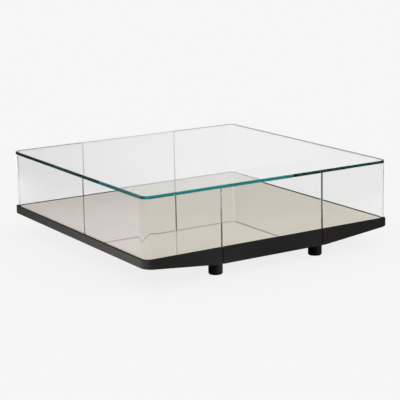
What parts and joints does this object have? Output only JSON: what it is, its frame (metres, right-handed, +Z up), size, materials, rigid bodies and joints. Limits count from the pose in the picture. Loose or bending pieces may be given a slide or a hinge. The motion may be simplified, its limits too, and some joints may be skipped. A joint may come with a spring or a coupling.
{
  "type": "coffee table",
  "caption": "Square low coffee table: a closed glass case with a mirror floor on a tapered black base with short round feet; the middle of each long face draws out as a shallow drawer.",
  "frame": {"origin": "on the floor under the middle of the table", "axes": "+Z up, the front drawer opens towards -Y, +X to the right seen from the front"},
  "size_m": [1.2, 1.2, 0.368],
  "materials": {
    "clear_glass": "clear polished float glass",
    "mirror": "champagne tinted mirror",
    "seal": "matt",
    "zinc_steel": "zinc plated",
    "runner_steel": "rolled, zinc plated",
    "frame_steel": "black powder coat",
    "foot_black": "satin black",
    "glide": "matt",
    "black_lacquer": "satin black lacquer on board",
    "black_skin": "black laminate on thin board",
    "board": "black stained board"
  },
  "bodies": {
    "table": {"top_glass": "clear_glass", "left_end_glass": "clear_glass", "right_end_glass": "clear_glass", "mirror_panel": "mirror", "deck_panel": "board", "left_end_rail": "black_lacquer", "right_end_rail": "black_lacquer", "rail_battens": "board", "left_glass_seal": "seal", "right_glass_seal": "seal", "left_bearer": "frame_steel", "right_bearer": "frame_steel", "cross_member": "frame_steel", "left_rib_front": "board", "left_rib_middle": "board", "left_rib_rear": "board", "right_rib_front": "board", "right_rib_middle": "board", "right_rib_rear": "board", "left_skin": "black_skin", "centre_skin": "black_skin", "right_skin": "black_skin", "rail_brackets": "zinc_steel", "front_left_foot": "foot_black", "front_right_foot": "foot_black", "rear_left_foot": "foot_black", "rear_right_foot": "foot_black", "foot_glides": "glide", "foot_studs": "zinc_steel", "foot_nuts": "zinc_steel", "front_left_fixed_runner": "runner_steel", "front_right_fixed_runner": "runner_steel", "rear_left_fixed_runner": "runner_steel", "rear_right_fixed_runner": "runner_steel", "deck_screws": "zinc_steel", "skin_screws": "zinc_steel", "bracket_screws": "zinc_steel", "fixed_runner_screws": "zinc_steel"},
    "front_drawer": {"front_drawer_front": "black_lacquer", "front_pane": "clear_glass", "front_pane_seal": "seal", "front_drawer_sub_front": "board", "front_drawer_left_side": "board", "front_drawer_right_side": "board", "front_drawer_back": "board", "front_drawer_bottom": "board", "front_left_moving_runner": "runner_steel", "front_right_moving_runner": "runner_steel", "front_drawer_screws": "zinc_steel"},
    "rear_drawer": {"rear_drawer_front": "black_lacquer", "rear_pane": "clear_glass", "rear_pane_seal": "seal", "rear_drawer_sub_front": "board", "rear_drawer_left_side": "board", "rear_drawer_right_side": "board", "rear_drawer_back": "board", "rear_drawer_bottom": "board", "rear_left_moving_runner": "runner_steel", "rear_right_moving_runner": "runner_steel", "rear_drawer_screws": "zinc_steel"}
  },
  "joints": [
    {"name": "front_drawer_slide", "type": "slide", "parent": "table", "child": "front_drawer", "axis": [0, -1, 0], "range_m": [0, 0.35]},
    {"name": "rear_drawer_slide", "type": "slide", "parent": "table", "child": "rear_drawer", "axis": [0, 1, 0], "range_m": [0, 0.35]}
  ]
}
